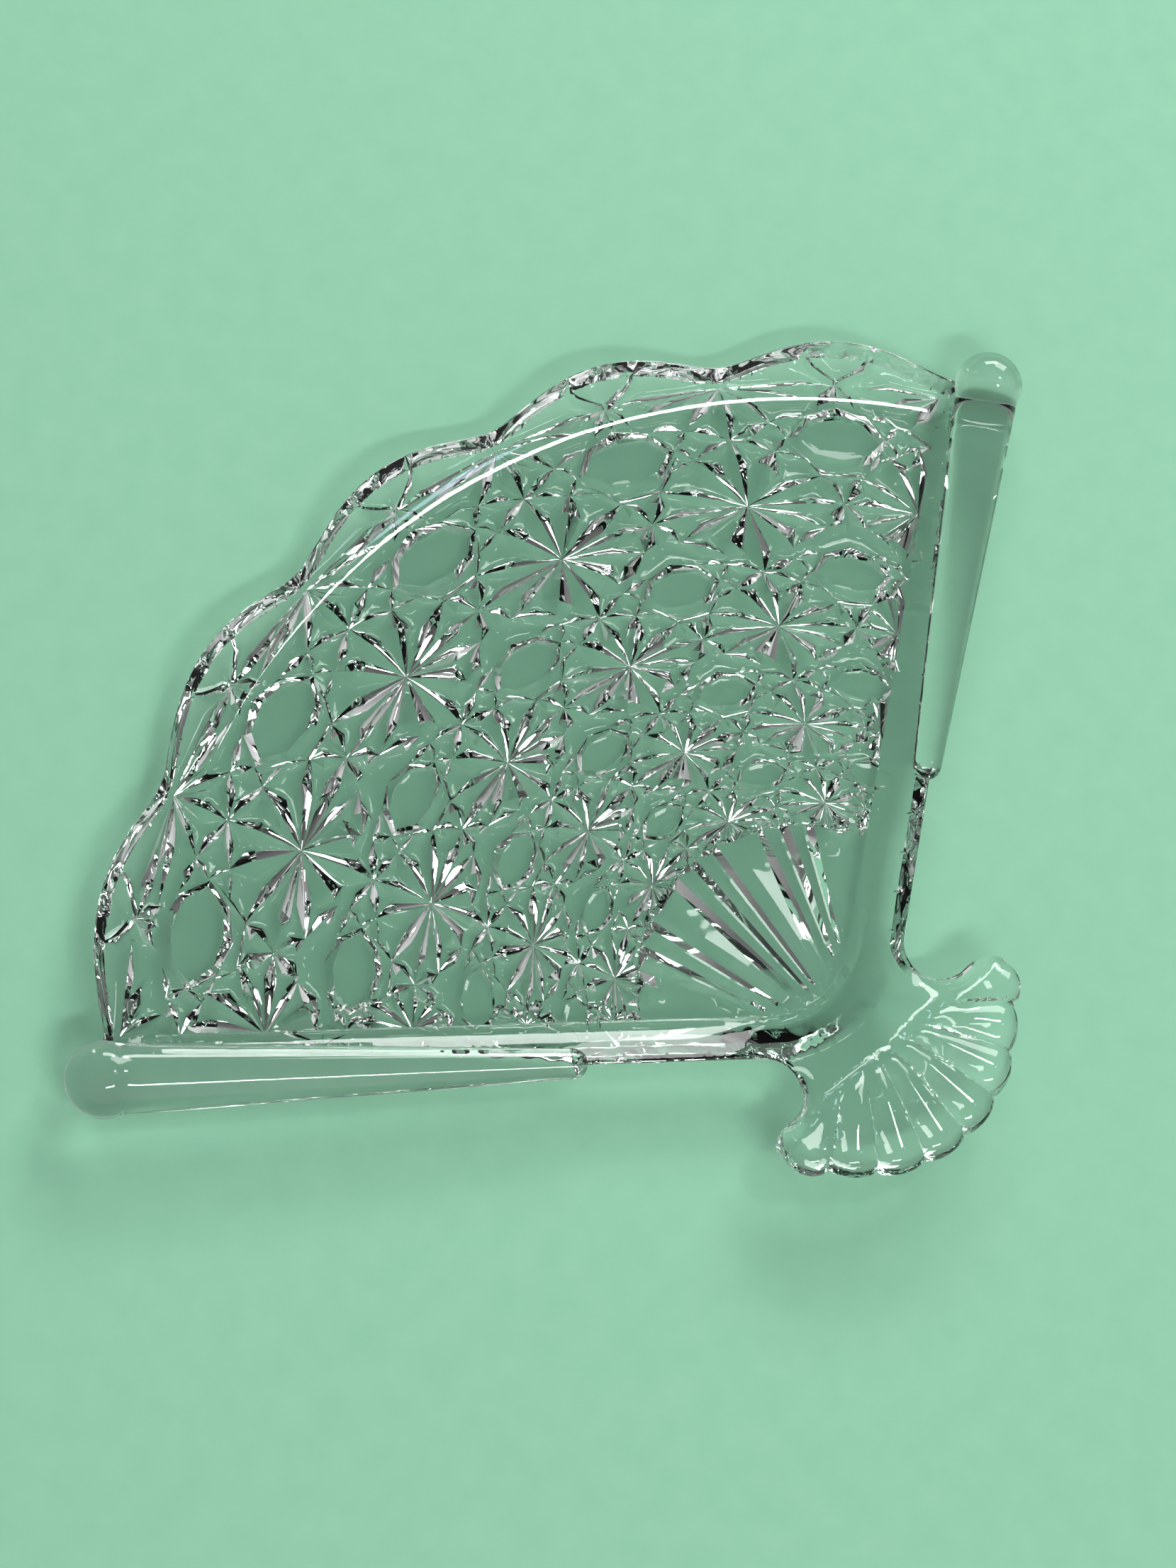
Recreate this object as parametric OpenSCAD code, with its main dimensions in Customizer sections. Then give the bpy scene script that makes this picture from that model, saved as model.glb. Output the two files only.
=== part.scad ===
// Pressed glass dish in the shape of an open hand fan, with a daisy and button pattern under its floor
// The apex of the fan is the centre of its rings of daisies, and the two straight sides rise from near it

/* [Fan] */
// Distance from the apex to the crest of the middle scallop
fan_reach = 165.5; // [160:0.5:172]
// Angle of each straight side above the line across the fan
side_angle = 36.6; // [35.6:0.1:37.6]
// Distance from the apex to the point where the two sides of the floor would meet
side_start = 20.8; // [20:0.1:21.6]
// Angle from one daisy to the next, and from one notch of the rim to the next
pitch_angle = 19.35; // [19:0.05:19.6]
// Depth of the notches between the scallops
notch_depth = 4.5; // [2.5:0.1:6]
// Radius that rounds the floor where its two sides meet
tip_r = 20.4; // [18:0.1:23]

/* [Pan] */
// Thickness of the floor, relief included
floor_t = 4; // [3.4:0.1:5]
// Width of the upturned rim in plan, at a crest
rim_w = 13.5; // [11:0.5:16]
// Width of each side wall in plan
wall_w = 10; // [9.4:0.1:11]
// Height of the crests above the floor
wall_rise = 5.2; // [4.6:0.1:7]
// Thickness of the glass at the lip
lip_t = 3.4; // [2.6:0.1:4]

/* [Pattern] */
// Depth of the cuts under the floor
cut_depth = 1.3; // [0.8:0.1:1.8]
// Radius of the outermost full ring of daisies
ring_r = 130.5; // [127:0.5:133]
// Radius of the ring of daisies at the notches
notch_ring_r = 157.3; // [155:0.1:159]
// Radius of a daisy on the outermost full ring
daisy_r = 14; // [11:0.5:15]
// Rays of a daisy
daisy_rays = 16; // [12:2:16]
// Radius of the ribbed panel of fan sticks
panel_r = 37.7; // [35:0.1:40]
// Height of the sticks on the underside of the panel
stick_h = 1.1; // [0.6:0.1:1.6]

/* [Guards] */
// Radius of the bulb at the outer end of a guard bar
bulb_r = 7.4; // [7:0.1:8]
// Distance of the bulb's centre along the side
bulb_along = 148.5; // [146:0.5:151]
// Radius of the bar beside its bulb
bar_r = 6.8; // [6.2:0.1:6.9]
// Radius of the bar at its inner end
bar_end_r = 3; // [2.4:0.1:3.6]
// Distance of the bar's inner end along the side
bar_end_along = 54; // [50:0.5:60]
// Distance of the bar's axis outside the edge of the floor
bar_out = 9.4; // [9:0.1:10.4]

/* [Handle] */
// Half the width of the neck at its narrowest
neck_half = 17.6; // [17:0.1:18.4]
// Radius of the hollow on each side of the neck
hollow_r = 7.15; // [6.6:0.05:7.6]
// Radius of the shell's fluted edge
shell_r = 35.1; // [34:0.1:36.4]
// Distance of the centre of that edge from the apex
shell_y = 20.15; // [19.4:0.05:21]
// Radius of the two round ears of the shell
ear_r = 6.1; // [5.6:0.1:6.6]
// Distance of an ear's centre from the centre line
ear_x = 26.4; // [25.6:0.1:27.2]
// Angle between two flutes of the shell
flute_angle = 17.6; // [17:0.1:18.2]
// Height of the shell's top above the table
shell_top = 15.6; // [14.5:0.1:18]
// Thickness of the shell
shell_t = 7.2; // [6:0.1:8.4]
// Depth of the grooves between the flutes
groove_d = 1.1; // [0.6:0.1:1.6]

/* [Hidden] */
glass = [0.84, 0.93, 0.88];

// How far the part's own origin lies from the apex, on the centre line
origin_y = 103;

// The floor's outer arc, and the shape of the walls from the floor up to the lip
floor_r = fan_reach - rim_w;
lip_z = floor_t + wall_rise;
wall_power = 1.5;
under_start_share = 0.15;
scallop_softness_share = 0.3;
lip_edge_w = 1.6;
lip_drop_share = 0.3;

// The step up to the neck is nearly upright, and the walls lie back to their own slope further out
neck_power = 0.3;
slope_reach = 34;

// Where the neck starts and stops rising, and the rounding of the handle's free edge
rise_start = 20;
rise_end = 2;
edge_w = 4.2;
edge_drop_share = 0.42;

// The shell's flutes
flutes = 6;
cusp_d = 1.3;
flute_power = 0.6;
groove_start_share = 0.35;

// The pattern: rings whose radii fall by one ratio, and the shares that shape its stars and buttons
ring_ratio = 0.788;
rings = 4;
side_row = 2.5;
land_w = 0.6;
squash_share = 0.78;
cut_over_share = 0.12;
star_share = 0.31;
side_share = 0.85;
star_rays = 8;
star_centre_share = 0.35;
star_corner_share = 0.56;
star_deep_share = 0.62;
button_sides = 8;
button_share = 0.88;
button_squash_share = 0.585;
button_deep_share = 0.9;
button_inner_share = 0.78;

// The sticks of the panel: ribs on lines from one point of the centre line, with gaps among them for the panes
stick_turn = 6;
stick_w = 1.5;
rib_turns = [0, 1, 3, 4, 5, 6.6];
stick_pole_y = 9;
stick_start = 23;

// Steps along each curve, and round a guard bar
arc_steps = 70;
rim_steps = 6;
wall_steps = 28;
out_steps = 6;
out_power = 1.6;
panel_steps = 24;
tip_steps = 6;
flute_steps = 24;
ear_steps = 9;
hollow_steps = 6;
joint_steps = 14;
turn_steps = 12;
bar_steps = 96;
ring_shares = [0.3, 0.55, 0.75, 0.88, 0.96, 1];

function mix(a, b, s) = a + (b - a) * s;
function clamp(s) = min(max(s, 0), 1);
function smooth(s) = let(c = clamp(s)) c * c * (3 - 2 * c);
function fan_point(r, a) = r * [sin(a), cos(a)];
function about(c, r, a) = c + r * [cos(a), sin(a)];
function turned(c, r, from, to, steps) = [for (i = [0:steps]) about(c, r, mix(from, to, i / steps))];
function direction(p) = atan2(p.y, p.x);
function folded(p) = [abs(p.x), p.y];
function mirrored(line) = [for (i = [len(line) - 1:-1:0]) [-line[i].x, line[i].y]];
function reversed(line) = [for (i = [len(line) - 1:-1:0]) line[i]];
function part_of(line, from, to) = [for (i = [from:to]) line[i]];

// Along a side and square out from it, measured from where the two sides of the floor would meet
side_dir = [cos(side_angle), sin(side_angle)];
side_out = [sin(side_angle), -cos(side_angle)];
side_foot = [0, side_start];
tip_centre = side_foot + [0, tip_r / cos(side_angle)];
function side_point(along, out) = side_foot + along * side_dir + out * side_out;
function along_side(p) = (folded(p) - side_foot) * side_dir;
function in_tip(p) = abs(p.x) < (tip_centre.y - p.y) * tan(side_angle);
function out_of_floor(p) = in_tip(p) ? norm(p - tip_centre) - tip_r : (folded(p) - side_foot) * side_out;

// The angle from the centre line at which a circle about the apex meets the side of the floor
apex_out = side_start * cos(side_angle);
function side_meets(r) = 90 - side_angle - asin(apex_out / r);

// The scalloped lip, as a radius from the apex at each angle
function scallop(a) = let(c = cos(180 * a / pitch_angle), e = scallop_softness_share)
    (sqrt(c * c + e * e) - e) / (sqrt(1 + e * e) - e);
function lip_r(a) = fan_reach - notch_depth * (1 - scallop(a));
lip_end = side_meets(lip_r(side_meets(fan_reach - notch_depth)));

// Heights of the pan's upper and lower faces at any point in plan, with the lip's edge rounded off
function wall_share(p) = clamp(max((norm(p) - floor_r) / rim_w, out_of_floor(p) / wall_w));
function power_at(p) = mix(neck_power, wall_power, smooth(along_side(p) / slope_reach));
function on_handle(p) = smooth((rise_start - p.y) / edge_w);
function to_lip(p) = min(lip_r(atan2(p.x, p.y)) - norm(p), wall_w - out_of_floor(p));
function lip_drop(p) = let(s = 1 - clamp(to_lip(p) / lip_edge_w))
    lip_drop_share * lip_t * s * s * (1 - on_handle(p));
function pan_top(p) = floor_t + wall_rise * pow(wall_share(p), power_at(p)) - lip_drop(p);
function pan_under(p) = let(s = clamp((wall_share(p) - under_start_share) / (1 - under_start_share)))
    (lip_z - lip_t) * pow(s, wall_power) + lip_drop(p);

// The handle's plan: a lobed arc and two ears for the shell, and a hollow on each side of the neck
shell_centre = [0, shell_y];
hollow_centre = let(x = neck_half + hollow_r)
    [x, side_start + (x * sin(side_angle) - wall_w - hollow_r) / cos(side_angle)];
ear_centre = let(across = ear_x - hollow_centre.x)
    [ear_x, hollow_centre.y - sqrt(pow(hollow_r + ear_r, 2) - across * across)];
ear_start = flutes / 2 * flute_angle;
function flute(a) = abs(a) > ear_start ? 1 : pow(abs(sin(180 * a / flute_angle)), flute_power);
function shell_edge(a) = about(shell_centre, shell_r - cusp_d * (1 - flute(a)), a - 90);

// One half of the shell's outline and of the neck's, which meet part of the way round the hollow
joint_turn = 222;
wall_turn = 90 + side_angle;
wall_along = along_side(hollow_centre);
ear_turn_from = direction(shell_edge(ear_start) - ear_centre);
ear_turn_to = direction(hollow_centre - ear_centre);
shell_half = concat(
    [for (i = [0:flute_steps - 1]) shell_edge(ear_start * i / flute_steps)],
    turned(ear_centre, ear_r, ear_turn_from, ear_turn_to, ear_steps),
    turned(hollow_centre, hollow_r, mix(ear_turn_to + 180, joint_turn, 1 / 2), joint_turn, 1));
function wall_out(j) = wall_w * pow(j / out_steps, out_power);
neck_half_line = concat(
    turned(hollow_centre, hollow_r, joint_turn, wall_turn, hollow_steps),
    [for (j = [out_steps - 1:-1:0]) side_point(wall_along, wall_out(j))],
    turned(tip_centre, tip_r, side_angle - 90, -90, tip_steps));
joint_end = neck_half_line[0];
function joint_line(side) = [for (i = [1:joint_steps - 1])
    [mix(-side, side, i / joint_steps) * joint_end.x, joint_end.y]];
shell_outline = concat(
    shell_half, joint_line(-1), mirrored(part_of(shell_half, 1, len(shell_half) - 1)));
neck_outline = concat(
    neck_half_line, mirrored(part_of(neck_half_line, 0, len(neck_half_line) - 2)), joint_line(1));

// Heights of the handle's faces: raised over the table, rounded at the free edge, grooved between flutes
function neck_share(p) = smooth((rise_start - p.y) / (rise_start - rise_end));
function raised_top(p) = pan_top(p) + (shell_top - lip_z) * neck_share(p);
function raised_under(p) = mix(pan_under(p), shell_top - shell_t, neck_share(p));
function inside_handle(p) = let(q = folded(p))
    min(max(shell_r - norm(q - shell_centre), ear_r - norm(q - ear_centre)),
        norm(q - hollow_centre) - hollow_r);
function edge_drop(p) = let(s = 1 - clamp(inside_handle(p) / edge_w))
    edge_drop_share * (raised_top(p) - raised_under(p)) * s * s * on_handle(p);
function groove(p) = let(s = norm(p - shell_centre) / shell_r, a = atan2(p.x, shell_y - p.y))
    groove_d * (1 - flute(a)) * smooth((s - groove_start_share) / (1 - groove_start_share));
function handle_top(p) = raised_top(p) - edge_drop(p) - groove(p);
function handle_under(p) = raised_under(p) + edge_drop(p);

// The two triangles of one cell of an upper face and the two below them, and the faces down an edge
function tile(a, b, step, k) = [
    [a, b, b + step], [a, b + step, a + step],
    [k + a, k + b + step, k + b], [k + a, k + a + step, k + b + step]];
function side_faces(edge, k) = [for (i = [0:len(edge) - 1]) let(a = edge[i], b = edge[(i + 1) % len(edge)])
    each [[a, b, k + b], [a, k + b, k + a]]];

// A closed solid over a grid of points in plan, between two faces given as heights
module strip(rows, top, under) {
    n = len(rows);
    m = len(rows[0]);
    plan = [for (row = rows) each row];
    edge = concat([for (j = [0:m - 1]) j], [for (i = [1:n - 1]) i * m + m - 1],
        [for (j = [m - 2:-1:0]) (n - 1) * m + j], [for (i = [n - 2:-1:1]) i * m]);
    polyhedron(
        concat([for (p = plan) [p.x, p.y, top(p)]], [for (p = plan) [p.x, p.y, under(p)]]),
        concat([for (i = [0:n - 2]) for (j = [0:m - 2]) each tile(i * m + j, (i + 1) * m + j, 1, n * m)],
            side_faces(edge, n * m)));
}

// The same over an outline and its smaller copies about a point inside it
module pad(outline, pole, shares, top, under) {
    n = len(shares);
    m = len(outline);
    plan = concat([for (s = shares) for (p = outline) mix(pole, p, s)], [pole]);
    k = len(plan);
    polyhedron(
        concat([for (p = plan) [p.x, p.y, top(p)]], [for (p = plan) [p.x, p.y, under(p)]]),
        concat(
            [for (j = [0:m - 1]) let(next = (j + 1) % m)
                each [[n * m, next, j], [k + n * m, k + j, k + next]]],
            [for (i = [0:n - 2]) for (j = [0:m - 1])
                each tile((i + 1) * m + j, i * m + j, (j + 1) % m - j, k)],
            side_faces([for (j = [0:m - 1]) (n - 1) * m + j], k)));
}

// Cuts under the floor, all closed shells of one polyhedron, each reaching a little below the floor
module cuts(list) {
    starts = [for (i = 0, v = 0; i < len(list); v = v + len(list[i][0]), i = i + 1) v];
    polyhedron(
        [for (cut = list) each cut[0]],
        [for (i = [0:len(list) - 1]) for (f = list[i][1]) [for (v = f) v + starts[i]]]);
}

// A star of V-shaped rays about a point: its centre, the cover's centre, then corners, tips and deep points
function star(c, turn, size, count, first, rays) = let(
        gap = 360 / count,
        whole = rays == count,
        corners = whole ? rays : rays + 1,
        spot = function(share, i) c + share * (
            size.x * sin(gap * i) * fan_point(1, turn + 90) + size.y * cos(gap * i) * fan_point(1, turn)),
        low = -cut_over_share * cut_depth,
        at = function(q, z) [q.x, q.y, z],
        t0 = 2 + corners,
        d0 = t0 + rays)
    [concat(
        [at(c, star_centre_share * cut_depth), at(c, low)],
        [for (i = [0:corners - 1]) at(spot(star_corner_share, first + i), low)],
        [for (i = [0:rays - 1]) at(spot(1, first + i + 1 / 2), low)],
        [for (i = [0:rays - 1]) at(spot(star_deep_share, first + i + 1 / 2), cut_depth)]),
    concat(
        [for (i = [0:rays - 1]) let(k = 2 + i, n = 2 + (i + 1) % corners, t = t0 + i, d = d0 + i)
            each [[0, k, d], [k, t, d], [t, n, d], [n, 0, d], [1, t, k], [1, n, t]]],
        whole ? [] : [[0, 1, 2], [0, 1 + corners, 1]])];

// A button: a many-sided V-shaped groove, given as rings of points outside, deep and inside
function button(c, turn, size) = let(
        n = button_sides,
        low = -cut_over_share * cut_depth,
        ring_of = function(share, z) [for (i = [0:n - 1]) let(a = 360 / n * (i + 1 / 2), q = c
            + share * size.x * sin(a) * fan_point(1, turn + 90)
            + share * size.y * cos(a) * fan_point(1, turn)) [q.x, q.y, z]])
    [concat(ring_of(1, low), ring_of(button_deep_share, cut_depth), ring_of(button_inner_share, low)),
    [for (i = [0:n - 1]) let(j = (i + 1) % n) each [for (r = [0:2]) let(f = n * r, g = n * ((r + 1) % 3))
        each [[f + i, f + j, g + j], [f + i, g + j, g + i]]]]];

// The pattern: daisies on every ring, half daisies along the sides, small stars and buttons between them
stick_centre = tip_centre - [0, tip_r];
daisy_size = daisy_r * [1, squash_share];
function ring(k) = k < 0 ? notch_ring_r : ring_r * pow(ring_ratio, k);
function between(k) = (ring(k - 1) + ring(k)) / 2;
function on_floor(p) = norm(p) < floor_r - land_w && out_of_floor(p) < -land_w
    && norm(p - stick_centre) > panel_r + land_w;
function kept(list) = [for (cut = list)
    if (len([for (q = cut[0]) if (!on_floor([q.x, q.y])) q]) == 0) cut];
function stars(r, rows, size, count, first, rays) = [for (row = rows) let(turn = row * pitch_angle)
    star(fan_point(r, turn), turn, size * r / ring_r, count, first, rays)];
daisy_rows = [-side_row + 1:side_row - 1];
button_rows = [-side_row + 1 / 2:side_row - 1 / 2];
daisies = [for (k = [0:rings - 2]) each stars(ring(k), daisy_rows, daisy_size, daisy_rays, 0, daisy_rays)];
inner_daisies = stars(ring(rings - 1), daisy_rows, daisy_size, daisy_rays, -daisy_rays / 4, daisy_rays / 2);
side_daisies = [for (k = [0:rings - 2]) for (side = [-1, 1]) let(
        p = side_point(along_side(fan_point(ring(k), side_meets(ring(k)))), -2 * land_w))
    star([side * p.x, p.y], side * (90 - side_angle), side_share * daisy_size * ring(k) / ring_r,
        daisy_rays, side > 0 ? daisy_rays / 2 : 0, daisy_rays / 2)];
small_stars = [for (k = [0:rings - 1])
    each concat(
        stars(ring(k), k > 0 ? [-1:1] : button_rows, star_share * daisy_size, star_rays, 0, star_rays),
        stars(between(k), daisy_rows, star_share * daisy_size, star_rays, 0, star_rays))];
buttons = [for (k = [0:rings - 1]) for (row = button_rows) let(r = between(k))
    button(fan_point(r, row * pitch_angle), row * pitch_angle,
        button_share * daisy_r * [1, button_squash_share] * r / ring_r)];

// Plan outlines of the floor and of the stick panel, which share the panel's arc
panel_end = 90 - side_angle + asin((stick_centre.y - side_start) * cos(side_angle) / panel_r);
panel_arc = [for (i = [0:panel_steps])
    stick_centre + fan_point(panel_r, mix(-panel_end, panel_end, i / panel_steps))];
floor_arc = [for (j = [0:arc_steps]) fan_point(floor_r, mix(-1, 1, j / arc_steps) * side_meets(floor_r))];
module panel_plan() {
    polygon(concat(panel_arc,
        turned(tip_centre, tip_r, side_angle - 90, -side_angle - 90, 2 * tip_steps)));
}
module stick_plan(turn) {
    reach = stick_centre.y - stick_pole_y + panel_r;
    span = asin(stick_w / reach);
    polygon([for (s = [[stick_start, -1], [reach, -1], [reach, 1], [stick_start, 1]])
        [0, stick_pole_y] + fan_point(s[0], turn * stick_turn + s[1] * span)]);
}

module in_frame() {
    color(glass) translate([0, -origin_y, 0]) children();
}

module pan_floor() {
    in_frame() difference() {
        linear_extrude(floor_t) polygon(concat(floor_arc, reversed(panel_arc)));
        cuts(kept(concat(daisies, inner_daisies, side_daisies, small_stars, buttons)));
    }
}

module stick_panel() {
    in_frame() {
        translate([0, 0, stick_h]) linear_extrude(floor_t - stick_h) panel_plan();
        linear_extrude(stick_h) intersection() {
            panel_plan();
            for (side = [-1, 1], turn = rib_turns) stick_plan(side * turn);
        }
    }
}

module scalloped_rim() {
    in_frame() strip(
        [for (i = [0:rim_steps]) let(s = i / rim_steps, end = side_meets(mix(floor_r, lip_r(lip_end), s)))
            [for (j = [0:arc_steps]) let(u = mix(-1, 1, j / arc_steps))
                fan_point(mix(floor_r, lip_r(u * lip_end), s), u * end)]],
        function(p) pan_top(p), function(p) pan_under(p));
}

// A round bar lying along the side, from its rounded inner end to its bulb
module guard_bar() {
    waist = acos(bar_r / bulb_r);
    translate([0, side_start, bulb_r] + bar_out * [side_out.x, side_out.y, 0])
        rotate([0, 90, side_angle])
            rotate_extrude($fn = bar_steps) polygon(concat(
                turned([0, bar_end_along + bar_end_r], bar_end_r, -90, 0, turn_steps),
                turned([0, bulb_along], bulb_r, -waist, 90, turn_steps)));
}

module side_wall() {
    wall_end = along_side(fan_point(lip_r(lip_end), lip_end));
    in_frame() difference() {
        strip([for (i = [0:wall_steps]) [for (j = [0:out_steps])
            side_point(mix(wall_along, wall_end, i / wall_steps), wall_out(j))]],
            function(p) pan_top(p), function(p) pan_under(p));
        guard_bar();
    }
}

module left_side_wall() {
    mirror([1, 0, 0]) side_wall();
}

module right_side_wall() {
    side_wall();
}

module left_guard_bar() {
    mirror([1, 0, 0]) in_frame() guard_bar();
}

module right_guard_bar() {
    in_frame() guard_bar();
}

module neck() {
    in_frame() pad(neck_outline, mix(joint_end, stick_centre, 1 / 2).y * [0, 1], ring_shares,
        function(p) handle_top(p), function(p) handle_under(p));
}

module shell_handle() {
    in_frame() pad(shell_outline, [0, ear_centre.y], ring_shares,
        function(p) handle_top(p), function(p) handle_under(p));
}

pan_floor();
stick_panel();
scalloped_rim();
left_side_wall();
right_side_wall();
left_guard_bar();
right_guard_bar();
neck();
shell_handle();
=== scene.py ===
import math

import bpy
import numpy as np
from mathutils import Matrix, Vector
from mathutils.geometry import delaunay_2d_cdt


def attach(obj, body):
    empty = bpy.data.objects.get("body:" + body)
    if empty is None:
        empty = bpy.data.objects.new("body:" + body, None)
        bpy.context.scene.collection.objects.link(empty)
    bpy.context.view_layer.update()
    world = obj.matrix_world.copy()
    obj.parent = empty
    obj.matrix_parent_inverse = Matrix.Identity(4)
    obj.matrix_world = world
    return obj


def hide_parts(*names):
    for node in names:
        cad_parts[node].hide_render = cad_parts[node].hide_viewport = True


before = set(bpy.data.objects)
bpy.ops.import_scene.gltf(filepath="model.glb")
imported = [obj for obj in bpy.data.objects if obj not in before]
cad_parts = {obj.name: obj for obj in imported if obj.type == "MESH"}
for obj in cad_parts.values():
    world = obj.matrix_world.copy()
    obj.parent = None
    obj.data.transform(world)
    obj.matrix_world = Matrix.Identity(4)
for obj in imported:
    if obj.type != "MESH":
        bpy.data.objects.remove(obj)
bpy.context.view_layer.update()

# The dish is drawn in plan, in millimetres from the fan's apex, with the same sizes as the CAD part. The model's
# origin lies this far up the middle line.
ORIGIN_Y = 103.0

# The pan in plan: the reach of the crests, the angle and start of its straight sides, the angle from one daisy to
# the next, the depth of the notches, the radius of the pan's inner tip, and the stick panel's radius
REACH, SIDE_DEG, START, PITCH, NOTCH, TIP_R, PANEL_R = 165.5, 36.6, 20.8, 19.35, 4.5, 20.4, 37.7
SIDE = math.radians(SIDE_DEG)
# How round the notches are: 0 would be sharp
NOTCH_ROUND = 0.3
# Thickness of the floor, the widths of the rim and the side walls, their rise, and the glass at the lip
FLOOR_T, RIM_W, WALL_W, WALL_RISE, LIP_T = 4.0, 13.5, 10.0, 5.2, 3.4
FLOOR_R, LIP_Z = REACH - RIM_W, FLOOR_T + WALL_RISE
# The powers of the slopes from the floor up to the lip, and where the underside's starts: at the rim, and how much
# they change at the side walls
TOP_POWER, TOP_CHANGE = 1.5, 0.95
UNDER_POWER, UNDER_CHANGE = 1.5, 0.48
UNDER_START, START_CHANGE = 0.12, 0.14
# The step up to the neck, as a width, its share of the rise and its power, and how far along the sides it fades
STEP_W, STEP_SHARE, STEP_POWER, STEP_FADE = 1.7, 0.84, 1.3, 34
# The lip's round and bevel
LIP_ROUND, LIP_BEVEL = 0.5, 1.7

# The guard bars: radii, and places along and out from the side, and how far inside them the body stops
BULB_R, BULB_ALONG, BAR_R, BAR_END_R, BAR_END, BAR_OUT = 7.4, 148.5, 6.8, 3.0, 54.0, 9.4
BAR_INSET = 0.25

# The handle in plan: half its neck, the hollows beside it, the shell, its ears, and one flute's angle and cusp
NECK_HALF, HOLLOW_R, SHELL_R, SHELL_Y, EAR_R, EAR_X = 17.6, 7.15, 35.1, 20.15, 6.1, 26.4
FLUTE, CUSP = 17.6, 1.3
EAR_START = 3 * FLUTE
# Its height, its thickness and the width of its rounded edge
SHELL_TOP, SHELL_T, HANDLE_ROUND = 15.6, 7.2, 4.6
# Where up the middle line the neck starts to rise, and over what length it rises and its edge grows round
NECK_Y, NECK_RUN, ROUND_RUN = 20, 18, 6
# The flutes' depth, where they end towards the pan, the lengths over which they and their lobes fade in there, and
# how far the neck's top lies below the lobes, from where and over what length
FLUTE_D, FLUTE_Y, FLUTE_RUN, LOBE_RUN = 1.8, 9.5, 5, 3.6
SINK, SINK_Y, SINK_RUN = 0.9, 19, 8

# The thinnest glass at an edge, and a distance that stands for no edge
LEAST_T, FAR = 0.15, 99
# The spacing of the meshes' points under the floor, across and up, and on the handle
FLOOR_GRID, HANDLE_GRID = (1.15, 1.0), 0.9

side_dir = np.array([math.cos(SIDE), math.sin(SIDE)])
side_out = np.array([math.sin(SIDE), -math.cos(SIDE)])
foot = np.array([0.0, START])
tip_c = foot + [0, TIP_R / math.cos(SIDE)]
stick_c = tip_c - [0, TIP_R]
shell_c = np.array([0.0, SHELL_Y])
hollow_x = NECK_HALF + HOLLOW_R
hollow_c = np.array([hollow_x, START + (hollow_x * math.sin(SIDE) - WALL_W - HOLLOW_R) / math.cos(SIDE)])
ear_c = np.array([EAR_X, hollow_c[1] - math.sqrt((HOLLOW_R + EAR_R) ** 2 - (EAR_X - hollow_x) ** 2)])


def fan(r, a):
    """Plan points at a radius and an angle in degrees from the middle line."""
    a = np.radians(a)
    return np.stack([r * np.sin(a), r * np.cos(a)], -1)


def smooth(s):
    """An eased step from 0 to 1."""
    s = np.clip(s, 0, 1)
    return s * s * (3 - 2 * s)


def side_point(along, out):
    """Plan points at a distance along the right side and out from it."""
    return foot + np.multiply.outer(along, side_dir) + np.multiply.outer(out, side_out)


def folded(p):
    """The points mirrored onto the right half."""
    return np.stack([np.abs(p[..., 0]), p[..., 1]], -1)


def along_out(p):
    """How far plan points lie along their side and out from it."""
    q = folded(p) - foot
    return q @ side_dir, q @ side_out


def out_of_floor(p):
    """How far plan points lie outside the floor's two sides and its rounded tip."""
    tip = np.abs(p[..., 0]) < (tip_c[1] - p[..., 1]) * math.tan(SIDE)
    return np.where(tip, np.hypot(*(p - tip_c).T) - TIP_R, along_out(p)[1])


def side_meets(r):
    """The angle at which an arc about the apex meets the side."""
    return 90 - math.degrees(SIDE) - np.degrees(np.arcsin(START * math.cos(SIDE) / r))


def lip_r(a):
    """The scalloped lip's radius at an angle."""
    c, e = np.cos(np.radians(180 * a / PITCH)), NOTCH_ROUND
    return REACH - NOTCH * (1 - (np.sqrt(c * c + e * e) - e) / (math.sqrt(1 + e * e) - e))


WALL_FOOT = float(along_out(hollow_c)[0])
LIP_END = float(side_meets(lip_r(side_meets(REACH - NOTCH))))
CORNER = float(along_out(fan(lip_r(LIP_END), LIP_END))[0])


def bar_spans():
    """Where the guard bar's cone starts and ends along the side, and the turn at which the bulb takes over."""
    waist = math.acos(BAR_R / BULB_R)
    return BAR_END + BAR_END_R, BULB_ALONG - BULB_R * math.sin(waist), waist


def bar_radius(a):
    """The guard bar's radius at a distance along the side."""
    a0, a1, _ = bar_spans()
    cone = BAR_END_R + (BAR_R - BAR_END_R) * (a - a0) / (a1 - a0)
    end = np.sqrt(np.maximum(BAR_END_R ** 2 - (a0 - a) ** 2, 0))
    bulb = np.sqrt(np.maximum(BULB_R ** 2 - (a - BULB_ALONG) ** 2, 0))
    return np.where(a < a0, end, np.where(a < a1, cone, bulb))


def flute(a):
    """The shell's rounded flutes at an angle about its centre: 1 on a crest and 0 on a line between two."""
    return np.where(np.abs(a) > EAR_START, 1, np.abs(np.sin(np.radians(180 * a / FLUTE))) ** 0.6)


def inside_handle(p):
    """How far plan points lie inside the handle's outline."""
    q = folded(p)
    a = np.degrees(np.arctan2(q[..., 0], SHELL_Y - q[..., 1]))
    lobed = SHELL_R - CUSP * (1 - flute(a)) - np.hypot(*(q - shell_c).T)
    ears = EAR_R - np.hypot(*(q - ear_c).T)
    return np.minimum(np.maximum(lobed, ears), np.hypot(*(q - hollow_c).T) - HOLLOW_R)


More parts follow.
